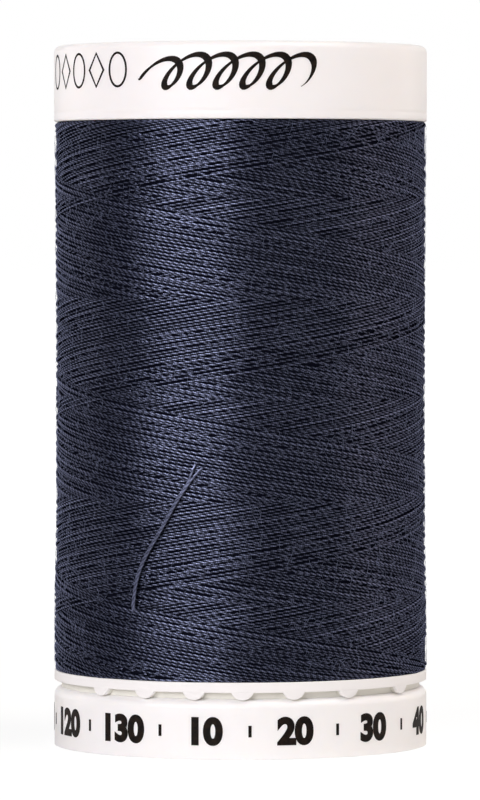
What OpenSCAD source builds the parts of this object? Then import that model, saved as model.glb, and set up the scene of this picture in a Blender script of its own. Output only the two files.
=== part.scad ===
// Spool of sewing thread with a snap base.
// The base cap clicks down from the spool body to free the thread end and
// up against it to hold the end between the two faces.
// Origin: centre of the standing face. +Z: up, along the spool's own axis.

/* [Rim] */
// Outside diameter that the base cap, the lower disc and the top cap share
rim_d = 33; // [30:0.5:42]

/* [Base cap] */
// Height of the base cap
base_h = 5.2; // [4.4:0.1:7]
// Radius along the top edge of the base cap
base_top_r = 0.8; // [0.3:0.1:1]
// Radius along the bottom edge of the base cap
base_foot_r = 0.5; // [0.2:0.1:0.7]
// Thickness of the base cap's skirt
base_wall = 1.2; // [1:0.1:1.6]
// Thickness of the base cap's top plate
base_plate = 1.3; // [1.2:0.1:1.6]
// Number of ribs under the base cap's plate
base_ribs = 8; // [4:1:12]
// Thickness of the ribs in both caps
rib_t = 0.9; // [0.6:0.1:1.2]
// Distance from the standing face up to the base cap's ribs
rib_inset = 0.8; // [0.4:0.1:1.4]

/* [Spool body] */
// Outside diameter of the core tube
core_d = 16; // [15.6:0.1:19]
// Wall thickness of the core tube
core_wall = 1.35; // [1:0.05:1.5]
// Thickness of the lower disc
disc_t = 0.9; // [0.7:0.05:1.4]
// Radius along the rim of the lower disc
disc_edge_r = 0.25; // [0.1:0.05:0.3]
// Thickness of the upper flange, inside the top cap
flange_t = 1; // [0.7:0.1:1.4]
// Play between the upper flange and the top cap's band
flange_play = 0.1; // [0.05:0.05:0.3]

/* [Bumps under the lower disc] */
// Height of each bump, which is the gap that the thread end is held in
bump_h = 0.6; // [0.4:0.05:0.8]
// Radius of the ball that each bump is a cap of
bump_r = 1; // [0.9:0.05:1.2]
// Distance from the disc's rim in to the centre of the bumps
bump_inset = 1; // [1:0.1:2.5]
// Distance from the disc's rim in to the seat ring, whose wall backs the gap
seat_inset = 0.9; // [0.6:0.1:1.4]
// Width of the seat ring
seat_w = 0.8; // [0.6:0.1:1.2]
// Play between the seat ring and the base cap
seat_play = 0.05; // [0.02:0.01:0.1]

/* [Top cap] */
// Height of the top cap's band
cap_h = 6.7; // [6:0.1:9]
// Radius along the top edge of the top cap
cap_edge_r = 0.6; // [0.3:0.1:0.9]
// Radius along the band's lower edge
cap_foot_r = 0.3; // [0.1:0.1:0.5]
// Thickness of the top cap's band
cap_wall = 1.1; // [1:0.1:1.5]
// Thickness of the top cap's plate
cap_plate = 1.2; // [1:0.1:1.6]
// Depth of the shallow dish in the top face
cap_dish = 0.8; // [0.5:0.1:1.2]
// Width of the raised rim round the dish
cap_rim_w = 1.9; // [1.6:0.1:3]
// Number of ribs under the top cap's plate
cap_ribs = 8; // [4:1:12]
// Height of the ribs under the top cap's plate
cap_rib_h = 2.2; // [1:0.1:2.4]
// How far the top cap's spigot goes down into the core
spigot_len = 5; // [3:0.5:10]
// Wall thickness of the spigot
spigot_wall = 1; // [0.7:0.1:1.2]
// Play between the spigot and the core
spigot_play = 0.02; // [0.01:0.01:0.1]

/* [Spool pin bores] */
// Diameter of the bores for a machine's spool pin
pin_bore_d = 7.6; // [6.5:0.1:7.8]
// Wall round each bore
hub_wall = 1.1; // [0.8:0.1:1.2]
// Chamfer at the mouth of each bore
bore_chamfer = 0.4; // [0.2:0.1:0.6]

/* [Snap base] */
// Number of snap fingers
finger_count = 4; // [3:1:5]
// Wall thickness of the snap fingers
finger_t = 1; // [0.7:0.1:1.1]
// How far the barbs reach past the lip
barb_hook = 0.3; // [0.2:0.05:0.4]
// Play between the fingers and the lip
slide_play = 0.15; // [0.1:0.05:0.25]
// Play between the barbs and the core
barb_play = 0.2; // [0.15:0.05:0.3]
// Travel of the spool body on the base cap
snap_travel = 1.6; // [0.8:0.1:3]
// Height of the lip that the barbs catch on
lip_h = 1.2; // [0.9:0.1:1.8]
// Height of the barbs
barb_h = 1.6; // [1.2:0.1:2]
// Width of the keys in the core that run between the fingers
key_w = 2.4; // [1.4:0.1:2.6]
// Play on each side of a key
key_play = 0.25; // [0.2:0.05:0.4]

/* [Thread] */
// Length of the winding, from disc to flange
wind_len = 48.4; // [30:0.2:70]
// How far inside the rim the winding stays at half its length
wind_inset = 0.2; // [0.1:0.1:6]
// How much the winding's radius grows towards its ends
wind_waist = 0.1; // [0:0.02:0.1]
// Radius along the winding's two shoulders
wind_shoulder = 0.35; // [0.2:0.05:0.6]
// Diameter of the thread
thread_d = 0.25; // [0.2:0.01:0.35]

/* [Hidden] */
$fn = 96;

// Overlap that makes joined shapes share volume
weld = 0.05;
// Depth of a cut past the face that it opens
over = 1;

rim_r = rim_d / 2;
core_r = core_d / 2;
core_ri = core_r - core_wall;
pin_r = pin_bore_d / 2;
hub_r = pin_r + hub_wall;

disc_z = base_h + bump_h;
wind_z = disc_z + disc_t;
cap_z = wind_z + wind_len;
flange_top = cap_z + flange_t;
top_z = cap_z + cap_h;
dish_z = top_z - cap_dish;
plate_z = dish_z - cap_plate;
cap_ri = rim_r - cap_wall;
flange_r = cap_ri - flange_play;

barb_r = core_ri - barb_play;
lip_r = barb_r - barb_hook;
finger_r = lip_r - slide_play;
barb_z = disc_z + lip_h + snap_travel;
key_h = lip_h + snap_travel;
key_gap = key_w + 2 * key_play;

spigot_r = core_ri - spigot_play;
bump_ring_r = rim_r - bump_inset;
wind_mid_r = rim_r - wind_inset;
wind_end_r = wind_mid_r + wind_waist;

// Angles of the bumps along the front half of the disc's rim, from the -Y direction.
// They lie closest at the front, and the back half repeats them.
BUMP_ANGLES = [-78, -50.5, -31.5, -15, 1, 17.5, 37, 71];
// Flats that the winding's waisted side is made of
wind_steps = 16;
// The thread end's way over the winding: angle from -Y, and height as a share of
// the winding's length
TAIL_WAY = [
    [-13, 0.39], [-13.2, 0.38], [-14.6, 0.364], [-16.8, 0.343], [-19.6, 0.318], [-22.6, 0.289],
    [-25.6, 0.26], [-28.6, 0.233], [-31, 0.207], [-32.6, 0.182], [-33.4, 0.157], [-33.8, 0.134],
    [-34, 0.122]
];
// Corners of a strand's section, and the gap between the end's two strands
strand_sides = 8;
strand_gap = 0.02;

// What is cut from a corner of a profile to round it, in the first quadrant
module round_off(r) {
    difference() {
        square(r + weld);
        circle(r);
    }
}

// A bore with a chamfer at both of its mouths
module pin_bore(z_low, z_high) {
    translate([0, 0, z_low - over])
        cylinder(h = z_high - z_low + 2 * over, r = pin_r);
    translate([0, 0, z_low - weld])
        cylinder(h = bore_chamfer + weld, r1 = pin_r + bore_chamfer + weld, r2 = pin_r);
    translate([0, 0, z_high - bore_chamfer])
        cylinder(h = bore_chamfer + weld, r1 = pin_r, r2 = pin_r + bore_chamfer + weld);
}

// Ribs like spokes between a hub and a wall
module spokes(count, r_in, r_out, z_low, height) {
    for (i = [0 : count - 1])
        rotate([0, 0, (i + 0.5) * 360 / count])
            translate([r_in, -rib_t / 2, z_low])
                cube([r_out - r_in, rib_t, height]);
}

module base_profile() {
    difference() {
        square([rim_r, base_h]);
        translate([rim_r - base_top_r, base_h - base_top_r])
            round_off(base_top_r);
        translate([rim_r - base_foot_r, base_foot_r])
            mirror([0, 1])
                round_off(base_foot_r);
        translate([hub_r, -over])
            square([rim_r - base_wall - hub_r, base_h - base_plate + over]);
    }
}

// One finger's section: a straight wall with a barb that has a square shoulder
// below and a lead-in slope above
module finger_profile() {
    polygon([
        [finger_r - finger_t, base_h - weld],
        [finger_r, base_h - weld],
        [finger_r, barb_z],
        [barb_r, barb_z],
        [barb_r, barb_z + barb_h * 0.3],
        [finger_r - finger_t * 0.4, barb_z + barb_h],
        [finger_r - finger_t, barb_z + barb_h]
    ]);
}

module snap_fingers() {
    difference() {
        rotate_extrude()
            finger_profile();
        for (i = [0 : finger_count - 1])
            rotate([0, 0, (i + 0.5) * 360 / finger_count])
                translate([0, -key_gap / 2, base_h])
                    cube([core_r, key_gap, barb_z]);
    }
}

module base_cap() {
    color("white")
        difference() {
            union() {
                rotate_extrude()
                    base_profile();
                spokes(base_ribs, hub_r - weld, rim_r - base_wall + weld,
                    rib_inset, base_h - base_plate - rib_inset + weld);
                snap_fingers();
            }
            pin_bore(0, base_h);
        }
}

module body_profile() {
    translate([core_ri, disc_z])
        square([core_wall, flange_top - disc_z]);
    translate([core_ri, cap_z])
        square([flange_r - core_ri, flange_t]);
    difference() {
        translate([core_ri, disc_z])
            square([rim_r - core_ri, disc_t]);
        translate([rim_r - disc_edge_r, disc_z + disc_t - disc_edge_r])
            round_off(disc_edge_r);
        translate([rim_r - disc_edge_r, disc_z + disc_edge_r])
            mirror([0, 1])
                round_off(disc_edge_r);
    }
    polygon([
        [core_ri + weld, disc_z],
        [lip_r + barb_hook, disc_z],
        [lip_r, disc_z + barb_hook],
        [lip_r, disc_z + lip_h],
        [core_ri + weld, disc_z + lip_h]
    ]);
    translate([rim_r - seat_inset - seat_w, base_h + seat_play])
        square([seat_w, bump_h - seat_play + weld]);
}

// A low dome on the underside of the lower disc, rooted halfway up the disc
module bump() {
    rotate_extrude($fn = 32)
        intersection() {
            translate([0, bump_r - bump_h])
                circle(bump_r, $fn = 64);
            translate([0, -bump_h - over])
                square([bump_r, bump_h + over + disc_t / 2]);
        }
}

// The keys stand on the lip's wall and keep the base cap from turning
module keys() {
    difference() {
        intersection() {
            for (i = [0 : finger_count - 1])
                rotate([0, 0, (i + 0.5) * 360 / finger_count])
                    translate([0, -key_w / 2, disc_z])
                        cube([core_ri + weld, key_w, key_h]);
            translate([0, 0, disc_z])
                cylinder(h = key_h, r = core_ri + weld);
        }
        translate([0, 0, disc_z - over])
            cylinder(h = key_h + 2 * over, r = finger_r - finger_t);
    }
}

module spool_body() {
    color("ghostwhite") {
        rotate_extrude()
            body_profile();
        for (half = [-90, 90], a = BUMP_ANGLES)
            rotate([0, 0, half + a])
                translate([bump_ring_r, 0, disc_z])
                    bump();
        keys();
    }
}

module cap_profile() {
    difference() {
        translate([0, cap_z])
            square([rim_r, cap_h]);
        translate([rim_r - cap_edge_r, top_z - cap_edge_r])
            round_off(cap_edge_r);
        translate([rim_r - cap_foot_r, cap_z + cap_foot_r])
            mirror([0, 1])
                round_off(cap_foot_r);
        translate([0, dish_z])
            square([rim_r - cap_rim_w, cap_dish + over]);
        translate([0, cap_z - over])
            square([cap_ri, plate_z - cap_z + over]);
    }
    translate([spigot_r - spigot_wall, flange_top - spigot_len])
        square([spigot_wall, plate_z - flange_top + spigot_len + weld]);
    translate([0, flange_top])
        square([hub_r, dish_z - flange_top - weld]);
}

module top_cap() {
    color("white")
        difference() {
            union() {
                rotate_extrude()
                    cap_profile();
                spokes(cap_ribs, spigot_r - weld, cap_ri + weld, plate_z - cap_rib_h, cap_rib_h + weld);
            }
            pin_bore(flange_top, dish_z);
        }
}

// The winding's side is a shallow parabola, narrowest at half its length
function wind_r(t) = wind_mid_r + wind_waist * pow(2 * t - 1, 2);

module wind_profile() {
    difference() {
        polygon(concat(
            [[core_r, wind_z + wind_len], [core_r, wind_z]],
            [for (i = [0 : wind_steps]) [wind_r(i / wind_steps), wind_z + wind_len * i / wind_steps]]
        ));
        translate([wind_end_r - wind_shoulder, wind_z + wind_len - wind_shoulder])
            round_off(wind_shoulder);
        translate([wind_end_r - wind_shoulder, wind_z + wind_shoulder])
            mirror([0, 1])
                round_off(wind_shoulder);
    }
}

module thread_winding() {
    color("darkslateblue")
        rotate_extrude()
            wind_profile();
}

// A point on the thread end's way along the winding; the first and last points
// dive below the surface, where the end is tucked in
function tail_dive(i) = (i == 0 || i == len(TAIL_WAY) - 1) ? -thread_d : thread_d / 2;
function tail_point(i) =
    let (
        r = wind_r(TAIL_WAY[i][1]) + tail_dive(i),
        a = TAIL_WAY[i][0] - 90
    )
    [r * cos(a), r * sin(a), wind_z + wind_len * TAIL_WAY[i][1]];

// A tube with strand_sides corners, swept beside a list of points round the Z axis
module strand(way, r, shift) {
    last = len(way) - 1;
    heading = function (i) let (d = way[min(i + 1, last)] - way[max(i - 1, 0)]) d / norm(d);
    across = function (i) let (c = cross(heading(i), [way[i].x, way[i].y, 0])) c / norm(c);
    outward = function (i) cross(across(i), heading(i));
    rings = [for (i = [0 : last], j = [0 : strand_sides - 1])
        let (a = j * 360 / strand_sides)
        way[i] + (shift + r * cos(a)) * across(i) + r * sin(a) * outward(i)];
    corner = function (i, j) i * strand_sides + j % strand_sides;
    walls = [for (i = [0 : last - 1], j = [0 : strand_sides - 1])
        [corner(i, j), corner(i, j + 1), corner(i + 1, j + 1), corner(i + 1, j)]];
    start = [for (j = [strand_sides - 1 : -1 : 0]) corner(0, j)];
    end = [for (j = [0 : strand_sides - 1]) corner(last, j)];
    polyhedron(points = rings, faces = concat(walls, [start, end]));
}

module thread_tail() {
    way = [for (i = [0 : len(TAIL_WAY) - 1]) tail_point(i)];
    color("slateblue")
        for (side = [-1, 1])
            strand(way, thread_d / 2, side * (thread_d + strand_gap) / 2);
}

base_cap();
spool_body();
top_cap();
thread_winding();
thread_tail();
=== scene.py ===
import math

import bmesh
import bpy
import numpy as np
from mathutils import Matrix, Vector


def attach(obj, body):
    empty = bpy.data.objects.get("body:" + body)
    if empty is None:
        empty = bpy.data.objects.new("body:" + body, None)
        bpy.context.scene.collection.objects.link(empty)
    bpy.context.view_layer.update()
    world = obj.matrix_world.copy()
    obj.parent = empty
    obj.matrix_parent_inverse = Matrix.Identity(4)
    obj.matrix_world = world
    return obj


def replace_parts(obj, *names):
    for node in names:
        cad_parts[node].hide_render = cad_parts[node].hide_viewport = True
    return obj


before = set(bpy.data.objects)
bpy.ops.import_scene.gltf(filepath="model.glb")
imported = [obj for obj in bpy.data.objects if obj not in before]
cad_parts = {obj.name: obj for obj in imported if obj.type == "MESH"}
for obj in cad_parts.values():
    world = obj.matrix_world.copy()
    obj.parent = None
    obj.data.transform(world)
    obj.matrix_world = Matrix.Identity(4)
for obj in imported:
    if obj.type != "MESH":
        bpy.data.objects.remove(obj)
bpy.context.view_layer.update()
mm = 0.001
print("frame loaded")


view = {
    "away": 509.0,        # from the spool's axis, mm
    "height": 45.5,       # of the lens above the table
    "aside": -0.04,
    "pitch": 1.69,        # degrees that it looks down
    "lens": 258.4, "sensor": 36.0,
    "near": 0.02, "far": 20.0,
}
room = {
    "white": 1.0,         # strength of the backdrop in the lens
    "skyLight": 0.02,     # what the rest of the room sends onto the spool
    "behind": 0.3,        # how far round to the back the mirrored backdrop begins
    "behindGain": 4.0,    # and how soon it is full
    "tableHalf": 6.0,     # metres from the table's middle to its edge
    "tableGlow": 0.80,    # how much of the table's white is its own, close to the spool
    "glowFrom": 0.10,     # metres from the spool where that share starts to grow
    "glowGain": 5.0,
    "tableWhite": 1.10,
    "mirrorGlow": 0.04,   # how much of the table's white the plastic mirrors
    "tableColour": (0.95, 0.94, 0.93, 1),
    "lampAim": 30.0,      # height that the lamps point at, mm
}
# azimuth 0 is in front, 90 on the spool's right; sizes and distances in mm, power in watts
lamps = {
    "keyLamp": {"azimuth": -32, "rise": 20, "away": 620, "size": (580, 240), "power": 2.84,
                "colour": (0.985, 0.97, 1.0)},
    "rightLamp": {"azimuth": 103, "rise": 16, "away": 600, "size": (760, 420), "power": 1.09,
                  "colour": (1.0, 0.86, 0.79)},
    "leftLamp": {"azimuth": -120, "rise": 16, "away": 600, "size": (480, 420), "power": 0.8,
                 "colour": (1.0, 0.93, 0.87)},
    "topLamp": {"azimuth": 58, "rise": 60, "away": 600, "size": (400, 400), "power": 2.28,
                "colour": (1.0, 0.975, 0.93)},
}


def placeCamera():
    camera = bpy.data.cameras.new("camera")
    camera.lens = view["lens"]
    camera.sensor_width = view["sensor"]
    camera.clip_start = view["near"]
    camera.clip_end = view["far"]
    spot = bpy.data.objects.new("camera", camera)
    spot.location = (view["aside"] * mm, -view["away"] * mm, view["height"] * mm)
    spot.rotation_euler = (math.radians(90 - view["pitch"]), 0, 0)
    bpy.context.scene.collection.objects.link(spot)
    bpy.context.scene.camera = spot


def placeLamps():
    for name, lamp in lamps.items():
        light = bpy.data.lights.new(name, "AREA")
        light.shape = "RECTANGLE"
        light.size = lamp["size"][0] * mm
        light.size_y = lamp["size"][1] * mm
        light.energy = lamp["power"]
        light.color = lamp["colour"]
        around = math.radians(lamp["azimuth"])
        rise = math.radians(lamp["rise"])
        flat = math.cos(rise)
        aim = Vector((math.sin(around) * flat, -math.cos(around) * flat, math.sin(rise)))
        spot = bpy.data.objects.new(name, light)
        spot.location = aim * lamp["away"] * mm + Vector((0, 0, room["lampAim"] * mm))
        spot.rotation_euler = aim.to_track_quat("Z", "Y").to_euler()
        spot.visible_camera = False
        bpy.context.scene.collection.objects.link(spot)


class Value:
    # a number somewhere in a node tree, so that a formula can be written with + - * and **
    def __init__(self, tree, socket):
        self.tree = tree
        self.socket = socket

    def maths(self, operation, other=0.0, swap=False):
        node = self.tree.nodes.new("ShaderNodeMath")
        node.operation = operation
        first, second = (other, self) if swap else (self, other)
        for slot, given in zip(node.inputs, (first, second)):
            if isinstance(given, Value):
                self.tree.links.new(given.socket, slot)
            else:
                slot.default_value = given
        return Value(self.tree, node.outputs[0])

    def __add__(self, other):
        return self.maths("ADD", other)

    def __radd__(self, other):
        return self.maths("ADD", other, True)

    def __sub__(self, other):
        return self.maths("SUBTRACT", other)

    def __rsub__(self, other):
        return self.maths("SUBTRACT", other, True)

    def __mul__(self, other):
        return self.maths("MULTIPLY", other)

    def __rmul__(self, other):
        return self.maths("MULTIPLY", other, True)

    def __pow__(self, other):
        return self.maths("POWER", other)

    def cosine(self):
        return self.maths("COSINE")

    def over(self, level):
        return self.maths("GREATER_THAN", level)

    def atLeast(self, level):
        return self.maths("MAXIMUM", level)

    def atMost(self, level):
        return self.maths("MINIMUM", level)

    def ramp(self, start, gain, most=1.0):
        # 0 up to start, then rising by gain for each 1, and never over most
        return ((self - start) * gain).atLeast(0.0).atMost(most)

    def between(self, pair):
        # what starts at the pair's first number and grows by its second as this goes from 0 to 1
        return pair[0] + pair[1] * self


class Finish:
    # one material and the calls that add its nodes
    def __init__(self, name):
        self.material = bpy.data.materials.new(name)
        self.material.use_nodes = True
        self.tree = self.material.node_tree
        self.tree.nodes.clear()

    def node(self, kind, settings=None, sockets=None):
        node = self.tree.nodes.new(kind)
        for key, value in (settings or {}).items():
            setattr(node, key, value)
        for key, given in (sockets or {}).items():
            if isinstance(given, Value):
                self.tree.links.new(given.socket, node.inputs[key])
            elif isinstance(given, bpy.types.NodeSocket):
                self.tree.links.new(given, node.inputs[key])
            else:
                node.inputs[key].default_value = given
        return node

    def value(self, node, output=0):
        return Value(self.tree, node.outputs[output])

    def objectPlace(self):
        return self.node("ShaderNodeTexCoord").outputs["Object"]

    def attribute(self, name):
        return self.value(self.node("ShaderNodeAttribute", {"attribute_name": name}), "Fac")

    def vector(self, operation, sockets):
        return self.node("ShaderNodeVectorMath", {"operation": operation}, sockets)

    def noise(self, scale, detail, place=None, stretch=None):
        place = place or self.objectPlace()
        if stretch:
            place = self.node("ShaderNodeMapping", {}, {"Vector": place, "Scale": stretch}).outputs[0]
        node = self.node("ShaderNodeTexNoise", {}, {"Vector": place, "Scale": scale, "Detail": detail})
        return self.value(node, "Fac")

    def blend(self, factor, low, high):
        return self.node("ShaderNodeMix", {"data_type": "RGBA"}, {0: factor, 6: low, 7: high}).outputs[2]

    def shader(self, sockets):
        return self.node("ShaderNodeBsdfPrincipled", {}, sockets).outputs[0]

    def mixed(self, factor, low, high):
        mix = self.node("ShaderNodeMixShader", {}, {0: factor, 1: low, 2: high})
        self.node("ShaderNodeOutputMaterial", {}, {"Surface": mix.outputs[0]})
        return self.material

    def finish(self, sockets):
        self.node("ShaderNodeOutputMaterial", {}, {"Surface": self.shader(sockets)})
        return self.material


plastic = {
    "cap": (0.895, 0.868, 0.872, 1), "capDeep": (0.865, 0.83, 0.825, 1),
    "base": (0.925, 0.905, 0.905, 1), "baseDeep": (0.90, 0.875, 0.872, 1),
    "body": (0.91, 0.885, 0.885, 1), "bodyDeep": (0.885, 0.855, 0.85, 1),
    # painted shade: the seat ring in the gap under the disc is coloured darker and yellower than the
    # plastic, for the shade in that gap
    "seat": (0.765, 0.75, 0.685, 1),
    "paintedShadeOut": 0.0162, "paintedShadeTop": 0.00574,    # where the painted shade of the seat ring ends, in metres
    "speck": (0.30, 0.25, 0.22, 1),
    "rough": (0.30, 0.12),                    # at least, and more in the milky clouds
    "gleam": 0.45,
    "capMilk": 0.25, "bodyMilk": 0.0,         # share of the light that goes into the milky wall
    "milkDepth": 0.0004,                      # and how deep, in metres
    "milkTint": (1.0, 0.85, 0.7),
    "cloud": 130.0,                           # size of the milky clouds, per metre
    "dots": 330.0, "dotSize": 0.034,          # specks of dust, and how big each is
    "dotPatches": 210.0, "dotShare": 0.60,    # patches of the surface, and how few have any dust
    "grain": 2600.0, "grainStrength": 0.05, "grainDepth": 0.00003,
}


def plasticFinish(name, pale, deep, milk, seat=None):
    p = plastic
    made = Finish(name)
    place = made.objectPlace()
    cloud = made.noise(p["cloud"], 4, place)
    speck = made.node("ShaderNodeTexVoronoi", {}, {"Vector": place, "Scale": p["dots"]})
    dust = 1 - made.value(speck, "Distance").over(p["dotSize"])
    chosen = made.noise(p["dotPatches"], 1, place).over(p["dotShare"])
    tone = made.blend(cloud, pale, deep)
    if seat:
        # painted shade: the ring under the disc is coloured darker and yellower, where the disc keeps the
        # light off it
        level = made.value(made.node("ShaderNodeSeparateXYZ", {}, {"Vector": place}), "Z")
        flat = made.vector("MULTIPLY", {0: place, 1: (1, 1, 0)})
        radius = made.value(made.vector("LENGTH", {0: flat.outputs[0]}), "Value")
        paintedShadeMask = (1 - radius.over(p["paintedShadeOut"])) * (1 - level.over(p["paintedShadeTop"]))
        tone = made.blend(paintedShadeMask, tone, seat)
    grain = made.noise(p["grain"], 2, place)
    bump = made.node("ShaderNodeBump", {}, {"Height": grain, "Strength": p["grainStrength"],
                                            "Distance": p["grainDepth"]})
    return made.finish({
        "Base Color": made.blend(dust * chosen, tone, p["speck"]),
        "Roughness": cloud.between(p["rough"]),
        "Normal": bump.outputs[0],
        "Subsurface Weight": milk,
        "Subsurface Radius": p["milkTint"],
        "Subsurface Scale": p["milkDepth"],
        "Specular IOR Level": p["gleam"],
    })


inkLook = {
    "full": (0.0008, 0.0006, 0.0006, 1), "worn": (0.016, 0.009, 0.005, 1),
    "grain": 2600.0, "wornFrom": 0.35, "wornGain": 3.0,
    "rough": (0.5, 0.2), "gleam": 0.12,
}


def inkFinish():
    made = Finish("printedBlack")
    wear = made.noise(inkLook["grain"], 4)
    spread = wear.ramp(inkLook["wornFrom"], inkLook["wornGain"])
    return made.finish({
        "Base Color": made.blend(spread, inkLook["full"], inkLook["worn"]),
        "Roughness": wear.between(inkLook["rough"]),
        "Specular IOR Level": inkLook["gleam"],
    })


yarn = {
    "crest": (0.0075, 0.016, 0.058, 1),
    "worn": (0.0175, 0.0255, 0.061, 1),
    # painted shade: the near black of the crease between the plies and of the strands' inner sides, also
    # the dark end of the thread's random tone
    "grooveShade": (0.0012, 0.0016, 0.0040, 1),
    "dash": 0.62, "gain": 0.875,              # how sharply a ply's crest falls off, and its light
    "endDash": 0.2, "endShadedGain": 0.45,          # the same for the opened thread end, whose share of light is painted lower, a darker copy of the thread's finish
    "bareFrom": 0.42, "bareGain": 1.72,       # how far out a strand's side must lie to be clear of the painted shade
    "roundness": 2.0,                         # how soon the painted shade darkens a strand towards its sides
    "sheen": 0.08, "sheenRough": 0.4, "sheenTint": (0.45, 0.52, 0.90, 1),
    "rough": (0.29, 0.06), "shadeRough": 0.9,
    "bend": 13.0,                             # index of refraction: how strongly the fibres shine
    "alongGrain": 0.2, "grainTurn": 0.25,     # the shine is narrow along the strand and wide across
    "shineTint": (0.575, 0.632, 0.98, 1),
    "flatness": 0.6,                          # how flat the strand's outside is, for the light
    "slubLong": 1.7, "slubApart": 37.0,       # noise for each mm of a strand, and from lay to lay
    "fibreLong": 6.0, "fibreRound": 22.0,
    # the share of the lit strand shader against the painted shade: least in the crease between the plies,
    # and varying at random by lay and slub
    "crestLight": (0.02, 0.98), "layLight": (0.74, 0.40), "slubLight": (0.75, 0.5),
    "slubTone": (0.60, 0.80), "layTone": (0.86, 0.28), "fibreTone": (0.7, 0.6),
    "haze": 420.0, "hazeFrom": 0.55, "hazeGain": 2.0, "hazeMost": 0.4,
}


def yarnFinish(name, dash, gain):
    # v runs once round the strand: its two plies are crests at 0 and 0.5
    y = yarn
    made = Finish(name)
    strand = made.node("ShaderNodeUVMap", {"uv_map": "alongStrand"})
    parts = made.node("ShaderNodeSeparateXYZ", {}, {"Vector": strand.outputs[0]})
    along = made.value(parts, "X")
    around = made.value(parts, "Y")
    crest = 0.5 + 0.5 * (around * (4 * math.pi)).cosine()
    lay = made.attribute("layTone")
    bare = made.attribute("openness")
    slubPlace = made.node("ShaderNodeCombineXYZ", {}, {"X": along * y["slubLong"],
                                                       "Y": lay * y["slubApart"]})
    slub = made.noise(1.0, 3, slubPlace.outputs[0])
    fibrePlace = made.node("ShaderNodeCombineXYZ", {}, {"X": along * y["fibreLong"],
                                                        "Y": around * y["fibreRound"]})
    fibre = made.noise(1.0, 2, fibrePlace.outputs[0])
    # the normal is turned part of the way towards straight out of the winding
    outward = made.vector("MULTIPLY", {0: made.objectPlace(), 1: (1, 1, 0)})
    outward = made.vector("NORMALIZE", {0: outward.outputs[0]})
    outward = made.node("ShaderNodeVectorTransform", {
        "vector_type": "NORMAL", "convert_from": "OBJECT", "convert_to": "WORLD",
    }, {0: outward.outputs[0]})
    own = made.node("ShaderNodeNewGeometry").outputs["Normal"]
    pressed = made.node("ShaderNodeMix", {"data_type": "VECTOR"},
                        {0: y["flatness"], 4: own, 5: outward.outputs[0]})
    facing = made.vector("NORMALIZE", {0: pressed.outputs[1]})
    # painted shade: where lit is low, the near-black shader without shine takes over, in the crease between
    # the plies, on the strands' inner sides and on sunk strands
    lit = (crest ** dash).between(y["crestLight"])
    lit = lit * bare.ramp(y["bareFrom"], y["bareGain"]) ** y["roundness"]
    lit = lit * lay.between(y["layLight"]) * slub.between(y["slubLight"]) * gain
    tone = slub.between(y["slubTone"]) * lay.between(y["layTone"]) * fibre.between(y["fibreTone"])
    body = made.blend(tone.atMost(1.0), y["grooveShade"], y["crest"])
    haze = made.noise(y["haze"], 3)
    strandShader = made.shader({
        "Base Color": made.blend(haze.ramp(y["hazeFrom"], y["hazeGain"], y["hazeMost"]), body, y["worn"]),
        "Roughness": slub.between(y["rough"]),
        "IOR": y["bend"],
        "Specular IOR Level": 0.5,
        "Specular Tint": y["shineTint"],
        "Normal": facing.outputs[0],
        "Anisotropic": y["alongGrain"],
        "Anisotropic Rotation": y["grainTurn"],
        "Sheen Weight": y["sheen"],
        "Sheen Roughness": y["sheenRough"],
        "Sheen Tint": y["sheenTint"],
    })
    # painted shade: near black and without shine
    paintedShadeShader = made.shader({
        "Base Color": y["grooveShade"],
        "Roughness": y["shadeRough"],
        "Specular IOR Level": 0.0,
    })
    return made.mixed(lit.atMost(1.0), paintedShadeShader, strandShader)


hair = {"dark": (0.08, 0.095, 0.16, 1), "pale": (0.26, 0.29, 0.43, 1), "tone": 300.0, "rough": 0.6,
        "gleam": 0.1}


def hairFinish():
    made = Finish("looseFibre")
    return made.finish({
        "Base Color": made.blend(made.noise(hair["tone"], 2), hair["dark"], hair["pale"]),
        "Roughness": hair["rough"],
        "Specular IOR Level": hair["gleam"],
    })


# painted shade: the buried thread is coloured near black, far darker than the thread, for the shade in the
# gaps between strands
under = {"dark": (0.002, 0.002, 0.005, 1), "pale": (0.008, 0.009, 0.018, 1), "tone": 700.0,
         "squash": (1, 1, 8), "rough": (0.8, 0.1)}


def buriedShadeFinish():
    made = Finish("shadowedBuriedThread")
    tone = made.noise(under["tone"], 3, None, under["squash"])
    return made.finish({
        "Base Color": made.blend(tone, under["dark"], under["pale"]),
        "Roughness": tone.between(under["rough"]),
        "Specular IOR Level": 0.0,
    })


def tableFinish():
    # white in the lens, with the spool's soft shadow kept
    made = Finish("paleTable")
    lit = made.node("ShaderNodeBsdfDiffuse", {}, {"Color": room["tableColour"]})
    glow = made.node("ShaderNodeEmission", {}, {"Color": (1, 1, 1, 1), "Strength": room["tableWhite"]})
    length = made.value(made.vector("LENGTH", {0: made.objectPlace()}), "Value")
    far = length.ramp(room["glowFrom"], room["glowGain"])
    share = far.between((room["tableGlow"], 1.0 - room["tableGlow"]))
    path = made.node("ShaderNodeLightPath")
    seen = made.value(path, "Is Camera Ray").atLeast(made.value(path, "Is Glossy Ray") * room["mirrorGlow"])
    seen = seen.atLeast(made.value(path, "Is Transmission Ray"))
    return made.mixed(seen * share, lit.outputs[0], glow.outputs[0])


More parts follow.
